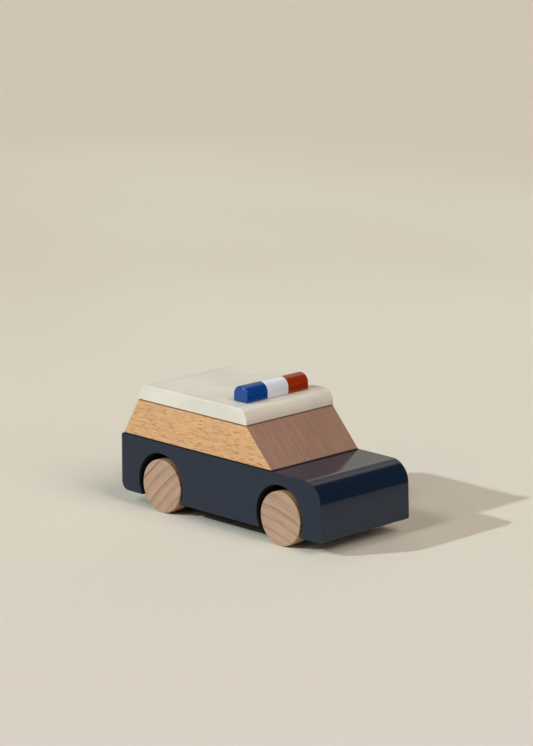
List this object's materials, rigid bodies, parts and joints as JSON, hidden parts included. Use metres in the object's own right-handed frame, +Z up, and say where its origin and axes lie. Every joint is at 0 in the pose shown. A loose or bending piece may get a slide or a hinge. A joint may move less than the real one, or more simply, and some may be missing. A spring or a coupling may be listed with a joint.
{
  "type": "toy police car",
  "caption": "Wooden toy car with a painted lower body, a bare cabin, a painted roof, a three-colour light bar and free-running wheels.",
  "frame": {"origin": "on the ground, under the middle of the lower body", "axes": "+X to the nose, +Y to the car's left side, +Z up"},
  "size_m": [0.1371, 0.06, 0.0702],
  "materials": {
    "navy_paint": "beech under satin navy paint",
    "bare_beech": "bare sanded beech",
    "cream_paint": "beech under satin cream paint",
    "blue_paint": "beech under gloss blue paint",
    "white_paint": "beech under gloss white paint",
    "red_paint": "beech under gloss rust red paint",
    "wheel_beech": "bare turned beech",
    "dowel_beech": "bare beech, glued in",
    "axle_steel": "bright drawn steel rod",
    "sleeve_plastic": "natural plastic tube",
    "washer_plastic": "natural plastic sheet"
  },
  "bodies": {
    "root": {"blue_lamp": "blue_paint", "blue_lamp_dowel": "dowel_beech", "white_lamp": "white_paint", "white_lamp_dowel": "dowel_beech", "red_lamp": "red_paint", "red_lamp_dowel": "dowel_beech", "lower_body": "navy_paint", "cabin": "bare_beech", "roof": "cream_paint", "front_cabin_dowel": "dowel_beech", "front_roof_dowel": "dowel_beech", "front_axle_sleeve": "sleeve_plastic", "rear_cabin_dowel": "dowel_beech", "rear_roof_dowel": "dowel_beech", "rear_axle_sleeve": "sleeve_plastic"},
    "front_wheelset": {"front_axle": "axle_steel", "front_right_wheel": "wheel_beech", "front_right_washer": "washer_plastic", "front_left_wheel": "wheel_beech", "front_left_washer": "washer_plastic"},
    "rear_wheelset": {"rear_axle": "axle_steel", "rear_right_wheel": "wheel_beech", "rear_right_washer": "washer_plastic", "rear_left_wheel": "wheel_beech", "rear_left_washer": "washer_plastic"}
  },
  "joints": [
    {"name": "front_axle_spin", "type": "hinge", "parent": "root", "child": "front_wheelset", "pos_m": [0.0408, 0, 0.0133], "axis": [0, 1, 0], "continuous": true},
    {"name": "rear_axle_spin", "type": "hinge", "parent": "root", "child": "rear_wheelset", "pos_m": [-0.0408, 0, 0.0133], "axis": [0, 1, 0], "continuous": true}
  ]
}
